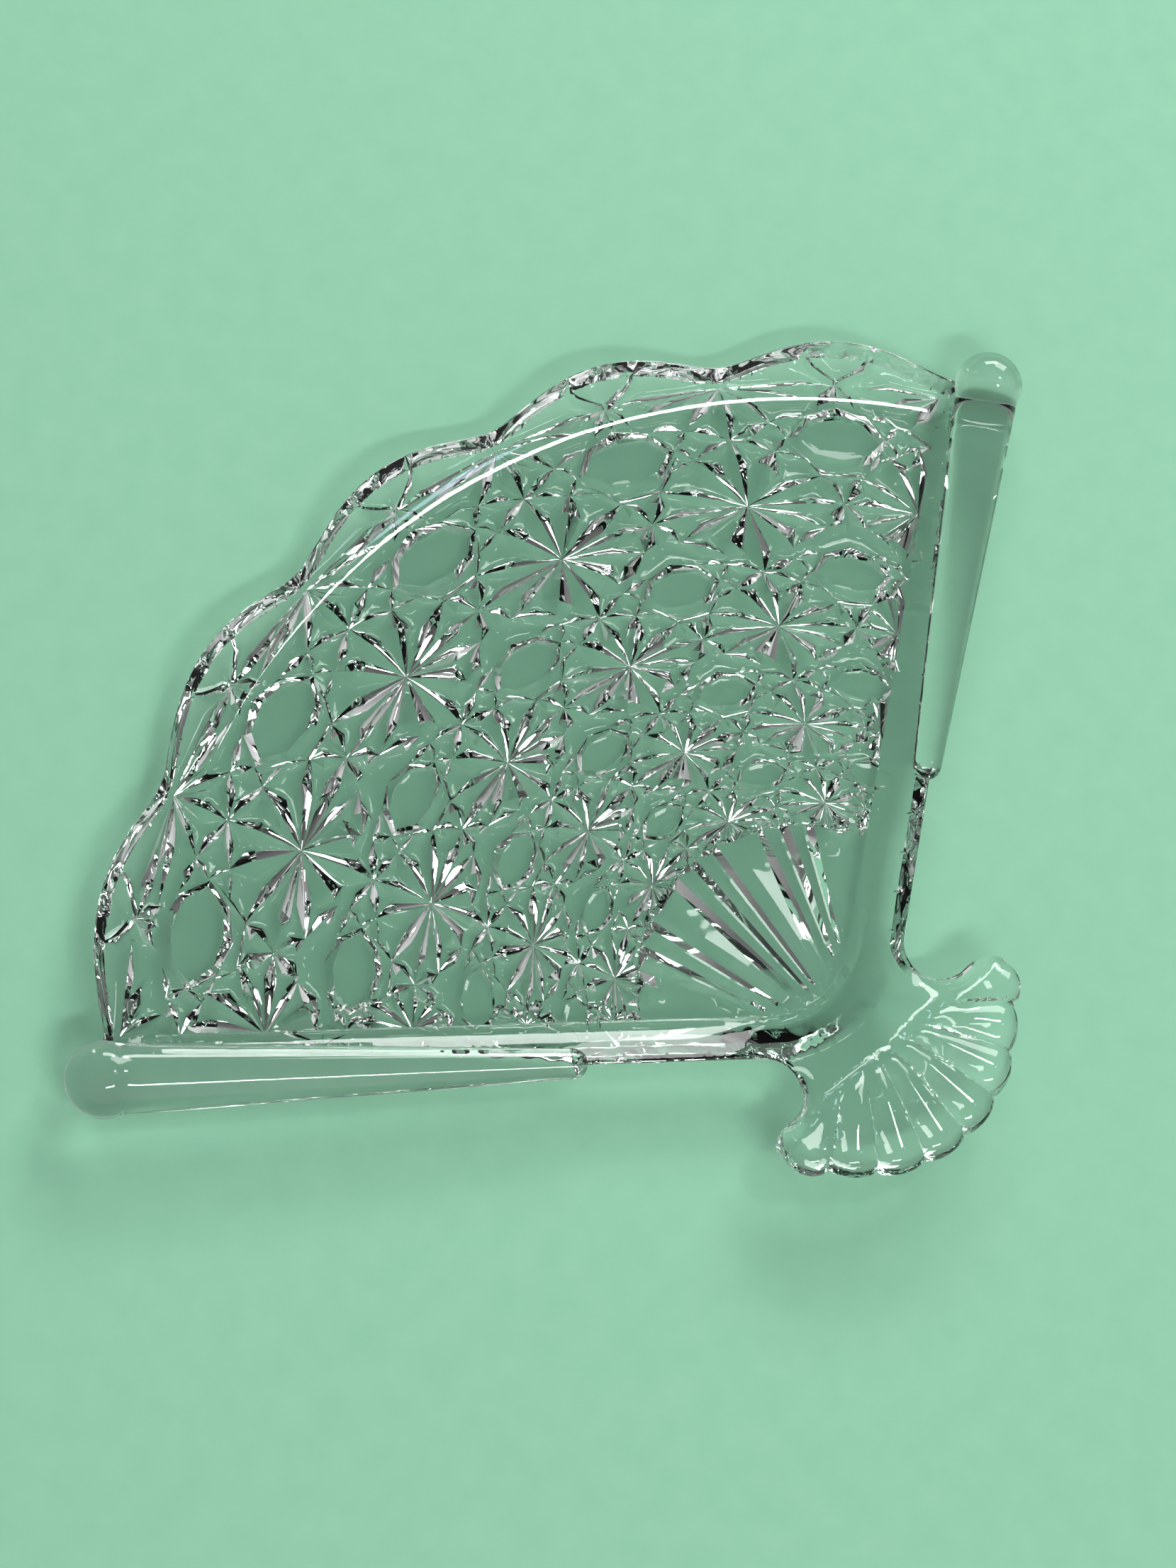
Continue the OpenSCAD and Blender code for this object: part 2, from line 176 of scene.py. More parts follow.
def faces_of(p):
    """Heights of the glass over plan points: its top, its underside with no cuts, and the distance to a free edge."""
    r, a = np.hypot(*p.T), np.degrees(np.arctan2(p[:, 0], p[:, 1]))
    along, out = along_out(p)
    off = out_of_floor(p)
    s = np.clip(np.maximum((r - FLOOR_R) / RIM_W, off / WALL_W), 0, 1)
    # the rim is concave, the side walls are crowned over a straight slope, and the step to the neck is nearly upright
    side = smooth((off / WALL_W - (r - FLOOR_R) / RIM_W + 0.3) / 0.6)
    step = np.clip(off / STEP_W, 0, 1)
    step = STEP_SHARE * step ** STEP_POWER + (1 - STEP_SHARE) * np.clip((off - STEP_W) / (WALL_W - STEP_W), 0, 1)
    slope = smooth(along / STEP_FADE)
    top = FLOOR_T + WALL_RISE * (step * (1 - slope) + s ** (TOP_POWER - TOP_CHANGE * side) * slope)
    start = UNDER_START + START_CHANGE * side
    under = (LIP_Z - LIP_T) * np.clip((s - start) / (1 - start), 0, 1) ** (UNDER_POWER - UNDER_CHANGE * side)
    neck = smooth((NECK_Y - p[:, 1]) / NECK_RUN)
    top = top + (SHELL_TOP - LIP_Z) * neck
    under = under + (SHELL_TOP - SHELL_T - under) * neck
    # free edges: the lip, the walls beyond the bars' inner ends, and the whole handle
    handle = smooth((NECK_Y - p[:, 1]) / ROUND_RUN)
    lip = np.where(np.abs(a) < 60, lip_r(a) - r, FAR)
    wall = np.where((along > WALL_FOOT) & (along < BAR_END + 1.5), WALL_W - out, FAR)
    hollow = np.hypot(*(folded(p) - hollow_c).T) - HOLLOW_R
    edge = np.where(p[:, 1] < 13, inside_handle(p), np.minimum(np.minimum(lip, wall), hollow))
    edge = np.maximum(edge, 0)
    # the handle's edge is fully rounded, and the lip has a bevelled face under a small round
    half = (top - under) / 2
    d = np.clip(1 - edge / HANDLE_ROUND, 0, 1)
    round_off = np.sqrt(np.maximum(1 - d * d, 0))
    drop = half * (1 - round_off) * 0.985
    e = np.clip(1 - edge / LIP_ROUND, 0, 1)
    lip_drop = LIP_ROUND * (1 - np.sqrt(np.maximum(1 - e * e, 0)))
    bevel = np.clip(1 - edge / LIP_BEVEL, 0, 1) * (2 * half - LIP_ROUND - LEAST_T)
    # the flutes run in from the shell's edge, and the neck's top lies lower than the lobes, which rise from it in
    # rounded ends
    fa = np.degrees(np.arctan2(p[:, 0], SHELL_Y - p[:, 1]))
    lowered = FLUTE_D * (1 - flute(fa)) * smooth((FLUTE_Y - p[:, 1]) / FLUTE_RUN) * round_off
    lobes = smooth((FLUTE_Y - p[:, 1] + np.abs(fa) * 0.02) / LOBE_RUN)
    lowered = lowered + SINK * smooth((SINK_Y - p[:, 1]) / SINK_RUN) * (1 - lobes)
    # a wave under the side walls, left by the mould
    wave = 0.08 * np.sin(along * 1.1 + 1.2 * np.sin(along * 0.31))
    wave = wave + 0.09 * np.sin(along * 0.43 + 2 * np.sin(along * 0.17))
    wave = wave * smooth((out - 2.5) / 3) * (1 - handle)
    top = top - drop * handle - lowered - lip_drop * (1 - handle)
    under = under + drop * handle + bevel * (1 - handle) + wave * (edge > 0.4)
    # the body stops just inside the guard bars
    ri = bar_radius(along) - BAR_INSET
    chord = ri * ri - (out - BAR_OUT) ** 2
    in_bar = (chord > 0) & (along > BAR_END + 2.5)
    arc = BULB_R - np.sqrt(np.maximum(chord, 0))
    top = np.where(in_bar, np.minimum(top, np.maximum(arc, under + 0.02)), top)
    return top, under, edge


def wall_end(along):
    """How far out the body reaches at a place beside a guard bar."""
    outs = np.linspace(0.2, WALL_W, 240)
    top, under, _ = faces_of(side_point(np.full(len(outs), along), outs).reshape(-1, 2))
    thin = np.nonzero(top - under < LEAST_T)[0]
    return outs[thin[0]] if len(thin) else WALL_W


# The pattern under the floor repeats in rows across the fan and rings down it, each ring a smaller copy of the one
# outside it. A place in it is given by its ring, its row, and millimetres across and up at the outer ring's size.
RING_0, RING_STEP, UNIT = 130.9, 0.2298, 130.5
RINGS = 4
DAISY_ROWS, BUTTON_ROWS = (-1.5, -0.5, 0.5, 1.5), (-2, -1, 0, 1, 2)
BOTH = (1, -1)
# All the mitred cuts are this much wider than their half widths below say, and none is deeper than this
KITE_WIDEN, KITE_DEEPEST = 1.3, 2.6
kites, grooves, buttons = [], [], []


def ring_radius(v, turn):
    """A ring's radius. The rings are a little flatter than arcs about the apex."""
    drift = np.maximum(4 + 8 * v - 0.4 * v * v, 0)
    return RING_0 * np.exp(-RING_STEP * v) - drift * (math.cos(math.radians(9.7)) - np.cos(np.radians(turn)))


def spot(v, turn, x=0.0, y=0.0):
    """The plan point at a place in the pattern."""
    a = turn + math.degrees(x / UNIT)
    return fan(ring_radius(v - y / UNIT / RING_STEP, a), a)


def kite(a, b, half, share=0.6, steep=1.15):
    """A mitred cut from a to b with four flat flanks, deepest and widest part way along."""
    d = (b - a) / np.hypot(*(b - a))
    half = half * KITE_WIDEN
    side = half * np.array([d[1], -d[0]])
    c = a + share * (b - a)
    kites.append((np.array([a, c + side, b, c - side]), c, min(half * steep, KITE_DEEPEST)))


def groove(points, half, depth):
    """A V-shaped cut along a line."""
    grooves.append((np.array(points), half, depth))


# Places about a daisy: up to the star above it, across to the tips and corners of the buttons beside it
STAR_V, TIP_X, NODE_X, LOW_NODE = 14.3, 11.4, 8.5, 17.6
# One daisy's rays: (x, y) of each ray's end, its half width, and how far along it is widest
RAYS = ((0, STAR_V, 1.7, 0.6), (NODE_X, 11.2, 2.2, 0.7), (LOW_NODE, 6.0, 1.25, 0.58), (21.9, 0, 1.15, 0.68),
        (LOW_NODE, -5.4, 1.1, 0.62), (NODE_X, -10.2, 2.5, 0.78), (0, STAR_V - 30, 1.9, 0.72))


def daisy(v, turn, narrow, sides):
    """A daisy on one or both sides of its own middle line, squeezed where a side wall crowds it."""
    c = spot(v, turn)
    s = ring_radius(v, turn) / UNIT
    for x, y, half, share in RAYS:
        for side in (BOTH if x else (1,)):
            if side in sides or not x:
                kite(c, spot(v, turn, side * x * narrow, y), half * s * (narrow if x > 9 else 1) ** 0.5, share)


def small_cuts(v, turn, narrow, sides, innermost):
    """The small cuts about one daisy: the star above it, and the lines to the tips of the buttons beside it."""
    s = ring_radius(v, turn) / UNIT
    star = spot(v, turn, 0, STAR_V)
    for side in sides:
        x = side * narrow
        high, low = spot(v, turn, x * NODE_X, 17.3), spot(v, turn, x * NODE_X, 11.2)
        tip = spot(v, turn, x * TIP_X, 14.2)
        kite(star, high, 0.95 * s, 0.55)
        kite(star, low, 0.95 * s, 0.5)
        kite(high, tip, 0.7 * s, 0.4)
        kite(low, tip, 0.5 * s, 0.5)
        kite(low, spot(v, turn, x * 14.6, 9.5), 0.4 * s, 0.4)
        kite(high, spot(v, turn, x * 15.6, 18.6), 0.75 * s, 0.45)
        if not innermost:
            kite(spot(v, turn, x * LOW_NODE, -5.4), spot(v, turn, x * NODE_X, -10.2), 1.15 * s, 0.55)
            kite(spot(v, turn, x * LOW_NODE, 6.0), spot(v, turn, x * 12.2, 12.2), 0.4 * s, 0.5)


# A button's outer edge, the bottom of its groove and its flat, each as the (x, y) of its side corner, the corner
# between and its end corner
BUTTON_UP = STAR_V - 0.5
BUTTON_EDGES = (((10.4, 0), (6.4, 4.5), (0, 6.4)),
                ((9.0, 0), (5.6, 3.5), (0, 4.6)),
                ((8.7, 0), (5.4, 3.3), (0, 4.2)))

for k in range(RINGS):
    for row in DAISY_ROWS:
        daisy(k, row * PITCH, 1, BOTH)
        small_cuts(k, row * PITCH, 1, BOTH, k == RINGS - 1)
    # the half daisies along the sides
    for side in BOTH:
        edge = float(side_meets(ring_radius(k, 45)))
        narrow = max((edge - 2 * PITCH) / (PITCH / 2), 0.42)
        daisy(k, side * edge, narrow, (-side,))
        if k < RINGS - 1:
            edge = float(side_meets(ring_radius(k - 0.47, 45)))
            small_cuts(k, side * edge, narrow, (-side,), False)
    for row in BUTTON_ROWS:
        turn = row * PITCH
        s = float(ring_radius(k, turn)) / UNIT
        # the small star beside the daisies, and the bar across under its button
        for x, y in ((4.3, 6.0), (4.3, -5.4)):
            for side in BOTH:
                kite(spot(k, turn), spot(k, turn, side * x, y), 1.35 * s, 0.62)
        groove([spot(k, turn, -4.3, 6.1), spot(k, turn, 4.3, 6.1)], 0.4 * s, 0.4 * s)
        # the button above it
        shapes = []
        for w, m, h in BUTTON_EDGES:
            ring = [(w[0], 0), m, (0, h[1]), (-m[0], m[1]), (-w[0], 0), (-m[0], -m[1]), (0, -h[1]), (m[0], -m[1])]
            shapes.append(np.array([spot(k, turn, x, BUTTON_UP + y) for x, y in ring]))
        buttons.append((spot(k, turn, 0, BUTTON_UP), shapes, s))

# the fans of rays at the notches
for row in DAISY_ROWS:
    turn = row * PITCH
    notch = spot(0, turn, 0, 24.6)
    kite(notch, spot(0, turn, 0, STAR_V), 1.6, 0.6)
    for side in BOTH:
        kite(notch, spot(0, turn, side * NODE_X, 17.3), 1.1, 0.6)
        kite(notch, spot(0, turn, side * 18.3, 21.4), 1.35, 0.5)
        kite(notch, spot(0, turn, side * 22, 24.5), 0.9, 0.72)
# the cuts at the crests, with one of the curved lines there from its inner end to the lip
LIP_LINE = ((0.6, 25.1), (2.6, 26.1), (4.7, 27.4), (5.7, 28.6), (6.3, 30.6))
for row in BUTTON_ROWS:
    turn = row * PITCH
    kite(spot(0, turn, 0, 24.8), spot(0, turn, 0, 20.9), 1.1, 0.65)
    # a point cut down from the lip, between two curved lines
    kite(spot(0, turn, 0, 27.4), spot(0, turn, 0, 33.6), 2.0, 0.55, 0.5)
    for side in BOTH:
        kite(spot(0, turn, 0, 24.8), spot(0, turn, side * 3.6, 20.6), 1.0, 0.6)
        groove([spot(0, turn, side * x, y) for x, y in LIP_LINE], 0.8, 0.9)
    if abs(row) == 2:
        # the half of a notch's fan that the side wall leaves
        side = -1 if row > 0 else 1
        edge = math.copysign(float(side_meets(157.5)), row)
        for x, y, half in ((22, 24.5, 0.9), (14.0, 21.0, 1.3), (6.5, 17.5, 1.1)):
            kite(spot(0, edge, 0, 24.6), spot(0, edge, side * x * 0.72, y), half, 0.6)

# The sticks fan out from a pole, one for each turn of this many degrees. Their cuts have this depth where they reach
# furthest from it, and end in facets of this slope at the panel's arc.
STICK_POLE, STICK_TURN, STICK_D, STICK_REACH, STICK_END = np.array([0.0, 9.0]), 6, 2.3, 54, 1.5
# How far from the pole a stick's lines start to swing to their outer turns, and over what length
STICK_FROM, STICK_OVER = 25, 26
# The lines of the ribs and panes: each line's inner and outer turn, in sticks from the middle line, and the share of
# the depth that is cut on it
STICKS = [(0, 0, 0), (0.43, 0.43, 1), (0.57, 0.57, 1), (1, 1, 0), (1.88, 1.54, 1), (2.04, 2.55, 1),
          (3, 2.95, 0), (3.43, 3.36, 1), (3.57, 3.48, 1), (4.03, 4, 0), (4.36, 4.4, 1), (4.46, 4.54, 1),
          (4.85, 5, 0), (5.2, 5.5, 1), (5.4, 6.2, 1), (5.9, 6.6, 0), (6.6, 7.1, 1), (29, 30, 1)]
# The land beside a cut swells up to it by this height over this width
SHOULDER, SHOULDER_W = 0.6, 2.4


def stick_opened(r):
    """How far a stick's lines have swung from their inner turns to their outer ones."""
    return np.clip((r - STICK_FROM) / STICK_OVER, 0, 1.1)


def gauge(p, c, ring):
    """0 at the middle of a convex outline and 1 on it."""
    q = p - c
    g = np.zeros(len(p))
    for a, b in zip(ring, np.roll(ring, -1, 0)):
        n = np.array([b[1] - a[1], a[0] - b[0]])
        g = np.maximum(g, (q @ n) / ((a - c) @ n))
    return g


def relief(p):
    """How deep the underside is cut at plan points."""
    d = np.zeros(len(p))
    land = np.full(len(p), SHOULDER_W)

    def near(points, grow=SHOULDER_W):
        lo, hi = points.min(0) - grow, points.max(0) + grow
        return np.nonzero(((p > lo) & (p < hi)).all(1))[0]

    for ring, c, depth in kites:
        m = near(ring)
        if len(m):
            g = gauge(p[m], c, ring)
            d[m] = np.maximum(d[m], depth * (1 - g))
            land[m] = np.minimum(land[m], np.maximum(g - 1, 0) * np.hypot(*(ring[1] - c)))
    for points, half, depth in grooves:
        m = near(points, half + SHOULDER_W)
        for a, b in zip(points, points[1:]):
            t = np.clip(((p[m] - a) @ (b - a)) / ((b - a) @ (b - a)), 0, 1)
            off = np.hypot(*(p[m] - a - np.multiply.outer(t, b - a)).T)
            d[m] = np.maximum(d[m], depth * (1 - off / half))
            land[m] = np.minimum(land[m], np.maximum(off - half, 0))
    for c, (outer, middle, inner), s in buttons:
        m = near(outer)
        g, mid, core = gauge(p[m], c, outer), gauge(p[m], c, middle), gauge(p[m], c, inner)
        rise = np.where(mid > 1, (1 - g) / np.maximum(mid - g, 1e-6), (core - 1) / np.maximum(core - mid, 1e-6))
        ring = 1.7 * s * np.clip(rise, 0, 1) + 0.22 * s * np.clip(core, 0, 1) ** 2 * (mid < 1)
        d[m] = np.where(g < 1, ring, d[m])
        land[m] = np.where(g < 1, SHOULDER_W * (mid < 1), np.minimum(land[m], (g - 1) * 6 * s))
    d = d + SHOULDER * (1 - land / SHOULDER_W) ** 2
    # nothing is cut under the side walls
    d = d * np.clip(1 - along_out(p)[1] / 0.8, 0, 1)
    # the stick panel's own cuts end in facets at its arc, and run out before the neck's step
    rho = np.hypot(*(p - stick_c).T)
    q = p - STICK_POLE
    reach = np.hypot(*q.T)
    turn, opened = np.abs(np.degrees(np.arctan2(q[:, 0], q[:, 1]))) / STICK_TURN, stick_opened(reach)
    panel = np.zeros(len(p))
    for (a0, a1, da), (b0, b1, db) in zip(STICKS, STICKS[1:]):
        a, b = a0 + (a1 - a0) * opened, b0 + (b1 - b0) * opened
        panel = np.where((turn >= a) & (turn < b), da + (db - da) * (turn - a) / (b - a), panel)
    from_tip = p[:, 1] - tip_c[1] + np.sqrt(np.maximum(TIP_R ** 2 - p[:, 0] ** 2, 0))
    panel = np.minimum(panel * STICK_D * reach / STICK_REACH, (PANEL_R - rho) * STICK_END) * smooth(from_tip / 4.5)
    return np.where((rho < PANEL_R) & (out_of_floor(p) < -0.05), panel, d)


def on_circle(c, r, turns):
    """Points on a circle, at turns in degrees from +X."""
    return [c + r * np.array([math.cos(math.radians(t)), math.sin(math.radians(t))]) for t in turns]


def shell_point(r, a):
    """A point on the shell at an angle from its middle line, which points back down the handle."""
    t = math.radians(a)
    return shell_c + r * np.array([math.sin(t), -math.cos(t)])


def outline():
    """The body's outline in plan, a closed loop from the middle of the rim."""
    right = [fan(lip_r(a), a) for a in np.linspace(0, LIP_END, 150)]
    right += [side_point(CORNER, o) for o in np.linspace(0.4, wall_end(CORNER - 0.6), 6)]
    right += [side_point(a, wall_end(a)) for a in np.linspace(CORNER - 0.8, BAR_END + 3.2, 110)]
    right += [side_point(a, WALL_W) for a in np.linspace(BAR_END + 2.2, WALL_FOOT, 40)]
    v = hollow_c - ear_c
    meet = math.degrees(math.atan2(v[1], v[0]))
    right += on_circle(hollow_c, HOLLOW_R, np.linspace(90 + SIDE_DEG, 180, 12)[1:])
    right += on_circle(hollow_c, HOLLOW_R, np.linspace(180, meet + 180, 18)[1:-1])
    w = shell_point(SHELL_R, EAR_START) - ear_c
    right += on_circle(ear_c, EAR_R, np.linspace(meet, math.degrees(math.atan2(w[1], w[0])), 26)[:-1])
    for a in np.linspace(EAR_START, 0, 49):
        right.append(shell_point(SHELL_R - CUSP * (1 - float(flute(np.array(a)))), a))
    right = np.array([np.asarray(q, float).reshape(2) for q in right])
    left = (right * [-1, 1])[1:-1][::-1]
    ring = np.concatenate([right, left])
    keep = np.hypot(*(ring - np.roll(ring, 1, 0)).T) > 1e-3
    return ring[keep][::-1]


def inside(p, loop):
    """Which plan points lie inside a closed loop."""
    hit = np.zeros(len(p), bool)
    for a, b in zip(loop, np.roll(loop, -1, 0)):
        cross = (a[1] > p[:, 1]) != (b[1] > p[:, 1])
        with np.errstate(divide="ignore", invalid="ignore"):
            x = a[0] + (p[:, 1] - a[1]) * (b[0] - a[0]) / (b[1] - a[1])
        hit ^= cross & (p[:, 0] < x)
    return hit


def clear_of(p, loop, least):
    """Which plan points lie at least that far from a closed loop's points."""
    ok = np.ones(len(p), bool)
    for i in range(0, len(p), 4000):
        d = p[i:i + 4000, None, :] - loop[None]
        ok[i:i + 4000] = (d * d).sum(-1).min(1) > least * least
    return ok


LOOP = outline()


def normals(t):
    """The left normals of a line with those tangents."""
    return np.stack([-t[:, 1], t[:, 0]], -1) / np.hypot(*t.T)[:, None]


def inset_rows(offsets):
    """Copies of the outline moved inwards, for the rounding of its edge."""
    n = normals(np.roll(LOOP, -1, 0) - np.roll(LOOP, 1, 0))
    rows = []
    for o in offsets:
        q = LOOP + n * o
        q = q[inside(q, LOOP)]
        q = q[clear_of(q, LOOP, o * 0.93)]
        rows.append(q)
    return rows


def base_points():
    """Plan points that carry the curved parts of both faces."""
    pts = [np.concatenate(inset_rows([0.04, 0.13, 0.27, LIP_ROUND, 0.8, 1.25, LIP_BEVEL, 2.1]))]
    pts += [r[r[:, 1] < 17] for r in inset_rows([2.4, 3.1, 3.9, 4.7])]
    # rim
    a = np.linspace(-1, 1, 201)
    for s in np.linspace(0, 0.86, 12):
        r = FLOOR_R + s * (lip_r(a * LIP_END) - FLOOR_R)
        pts.append(fan(r, a * side_meets(FLOOR_R + s * RIM_W)))
    # side walls
    for along in np.arange(2.0, CORNER, 2.2):
        e = wall_end(along) if along > BAR_END + 2.5 else WALL_W
        for o in (0, 0.08, 0.17, 0.28, 0.4, 0.52, 0.64, 0.76, 0.86, 0.94):
            q = side_point(along, o * e)
            pts.append(np.array([q, q * [-1, 1]]))
    # the tip of the pan and the neck's step
    for o in (0, 0.25, 0.5, 0.8, 1.1, 1.4, STEP_W, 2.0, 2.4, 2.9, 3.6, 4.5, 5.5):
        t = np.radians(np.linspace(-90 - 54, -90 + 54, 61))
        pts.append(tip_c + (TIP_R + o) * np.stack([np.cos(t), np.sin(t)], -1))
    # handle: an even grid, and lines along the flutes
    y, x = np.mgrid[-16:22:HANDLE_GRID, -33:33.1:HANDLE_GRID]
    x = x + HANDLE_GRID / 2 * (np.round((y + 16) / HANDLE_GRID) % 2)
    pts.append(np.stack([x.ravel(), y.ravel()], -1))
    r = np.linspace(9, SHELL_R, 34)
    for a in np.arange(-52.8, 52.9, FLUTE):
        for off in (-3.2, -1.8, -0.9, -0.35, 0, 0.35, 0.9, 1.8, 3.2):
            t = np.radians(a + off)
            pts.append(shell_c + np.stack([r * np.sin(t), -r * np.cos(t)], -1))
    return np.concatenate(pts)


def mesh_cdt(points, edges, tol):
    """Triangulates the outline with these points and crease lines inside it."""
    n = len(LOOP)
    p = [Vector(q) for q in np.concatenate([LOOP, points])]
    loop_edges = [(i, (i + 1) % n) for i in range(n)]
    out = delaunay_2d_cdt(p, loop_edges + [(a + n, b + n) for a, b in edges], [], 0, tol)
    verts = np.array([v[:] for v in out[0]])
    tris = np.array([t[:3] for t in out[2] if len(t) == 3])
    mid = verts[tris].mean(1)
    tris = tris[inside(mid, LOOP)]
    a, b, c = verts[tris[:, 0]], verts[tris[:, 1]], verts[tris[:, 2]]
    area = (b[:, 0] - a[:, 0]) * (c[:, 1] - a[:, 1]) - (b[:, 1] - a[:, 1]) * (c[:, 0] - a[:, 0])
    tris[area < 0] = tris[area < 0][:, ::-1]
    # where each outline point went
    where = {}
    for i, origins in enumerate(out[3]):
        for o in origins:
            if o < n:
                where[o] = i
    return verts, tris[np.abs(area) > 1e-9], [where[i] for i in range(n)]


def crease_lines():
    """The points of all the cuts' edges, and the pairs of them that a crease joins."""
    arcs, lines = [], []

    def line(q, closed=False):
        start = sum(len(a) for a in arcs)
        arcs.append(np.asarray(q, float))
        m = len(q)
        lines.extend((start + i, start + (i + 1) % m) for i in range(m if closed else m - 1))

    for out, c, _ in kites:
        if not inside(out, LOOP).all() or not clear_of(out, LOOP, 1.0).all() or (along_out(out)[1] > 1).all():
            continue
        i = sum(len(a) for a in arcs)
        arcs.append(np.concatenate([out, [c]]))
        m = len(out)
        lines.extend((i + j, i + (j + 1) % m) for j in range(m))
        lines.extend((i + j, i + m) for j in range(m))
    for points, half, _ in grooves:
        n = normals(np.gradient(points, axis=0))
        for o in (-half, 0, half):
            q = points + o * n
            q = q[inside(q, LOOP) & clear_of(q, LOOP, 0.3)]
            if len(q) > 1:
                line(q)
    for c, (outer, middle, inner), _ in buttons:
        if not inside(outer, LOOP).all():
            continue
        for q in [outer, middle, inner] + [c + (inner - c) * f for f in (0.8, 0.6, 0.4, 0.2)]:
            line(q, True)
    r = np.linspace(17.5, 54.5, 38)
    for k0, k1, _ in STICKS[:-1]:
        for side in ((-1, 1) if k0 else (1,)):
            q = STICK_POLE + fan(r, side * STICK_TURN * (k0 + (k1 - k0) * stick_opened(r)))
            q = q[(out_of_floor(q) < -0.3) & (np.hypot(*(q - stick_c).T) < PANEL_R - 0.2)]
            if len(q) > 1:
                line(q)
    for o in (0, 0.25, 0.5, 0.75, 1.0, 1.25, 1.45, 1.8):
        q = stick_c + fan(PANEL_R - o, np.linspace(-59, 59, 240))
        line(q[out_of_floor(q) < -0.2])
    return np.concatenate(arcs), lines


def body_mesh():
    """The pressing without its bars: its top, its cut underside and the edge that joins them."""
    base = base_points()
    base = base[inside(base, LOOP) & clear_of(base, LOOP, 0.05)]
    top_v, top_t, top_loop = mesh_cdt(base, [], 1e-5)
    # the underside has an even grid under the floor, but not on the flanks of the cuts, which stay flat
    y, x = np.mgrid[20:153:FLOOR_GRID[1], -110:110.1:FLOOR_GRID[0]]
    grid = np.stack([(x + FLOOR_GRID[0] / 2 * (np.round(y) % 2)).ravel(), y.ravel()], -1)
    grid = grid[(out_of_floor(grid) < -0.3) & (np.hypot(*grid.T) < FLOOR_R - 0.5)]
    grid = grid[np.hypot(*(grid - stick_c).T) > PANEL_R + 0.8]
    lands = np.concatenate([base[(out_of_floor(base) > 0.3) | (np.hypot(*base.T) > FLOOR_R - 1)], grid])
    lands = lands[relief(lands) < SHOULDER]
    pts, lines = crease_lines()
    low_v, low_t, low_loop = mesh_cdt(np.concatenate([pts, lands]), lines, 1e-5)
    top_z, _, _ = faces_of(top_v)
    over, low_z, edge = faces_of(low_v)
    low_z = low_z + np.minimum(relief(low_v), 0.7 * (over - low_z)) * np.clip((edge - 1.0) / 1.4, 0, 1)
    verts = np.concatenate([np.column_stack([top_v, top_z]), np.column_stack([low_v, low_z])])
    k, n = len(top_v), len(LOOP)
    faces = [tuple(t) for t in top_t] + [tuple(t[::-1] + k) for t in low_t]
    for i in range(n):
        j = (i + 1) % n
        a, b, c, d = top_loop[i], top_loop[j], k + low_loop[j], k + low_loop[i]
        faces += [(a, d, c), (a, c, b)]
    return verts, faces


def bar_mesh(side):
    """A guard bar, turned about its own axis: a round inner end, a cone and the bulb."""
    a0, a1, waist = bar_spans()
    prof = [(BAR_END_R * math.cos(t), BAR_END + BAR_END_R + BAR_END_R * math.sin(t))
            for t in np.radians(np.linspace(-90, 0, 17))]
    prof += [(float(bar_radius(np.array(a))), a) for a in np.linspace(a0, a1, 40)[1:-1]]
    prof += [(BULB_R * math.cos(t), BULB_ALONG + BULB_R * math.sin(t)) for t in np.linspace(-waist, math.pi / 2, 32)]
    n = 96
    verts, faces = [], []
    for r, a in prof[1:-1]:
        for i in range(n):
            t = 2 * math.pi * i / n
            q = side_point(a, BAR_OUT + r * math.cos(t))
            verts.append((q[0], q[1], BULB_R + r * math.sin(t)))
    m = len(prof) - 2
    for i in range(m - 1):
        for j in range(n):
            k = (j + 1) % n
            faces.append((i * n + j, (i + 1) * n + j, (i + 1) * n + k, i * n + k))
    for end, row in ((0, 0), (len(prof) - 1, m - 1)):
        q = side_point(prof[end][1], BAR_OUT)
        verts.append((q[0], q[1], BULB_R))
        c = len(verts) - 1
        for j in range(n):
            k = (j + 1) % n
            faces.append((c, row * n + j, row * n + k) if end == 0 else (c, row * n + k, row * n + j))
    verts = np.array(verts)
    if side < 0:
        verts = verts * [-1, 1, 1]
        faces = [f[::-1] for f in faces]
    return verts, faces


def volume(me):
    """The enclosed volume, which is negative where the faces point inwards."""
    co = np.array([v.co[:] for v in me.vertices])
    total = 0.0
    for poly in me.polygons:
        ids = poly.vertices
        for i in range(1, len(ids) - 1):
            total += np.dot(co[ids[0]], np.cross(co[ids[i]], co[ids[i + 1]]))
    return total / 6


def glass_piece(name, mesh, sharp):
    """A piece of clear glass, in metres from the model's origin, with creases over an angle in degrees."""
    verts, faces = mesh
    verts = (np.asarray(verts, float) - [0, ORIGIN_Y, 0]) * 0.001
    me = bpy.data.meshes.new(name)
    me.from_pydata(verts.tolist(), [], [tuple(int(i) for i in f) for f in faces])
    me.validate()
    me.update()
    me.shade_smooth()
    me.set_sharp_from_angle(angle=math.radians(sharp))
    ob = bpy.data.objects.new(name, me)
    bpy.context.scene.collection.objects.link(ob)
    if volume(me) < 0:
        me.flip_normals()
    me.materials.append(clear_glass)
    return ob


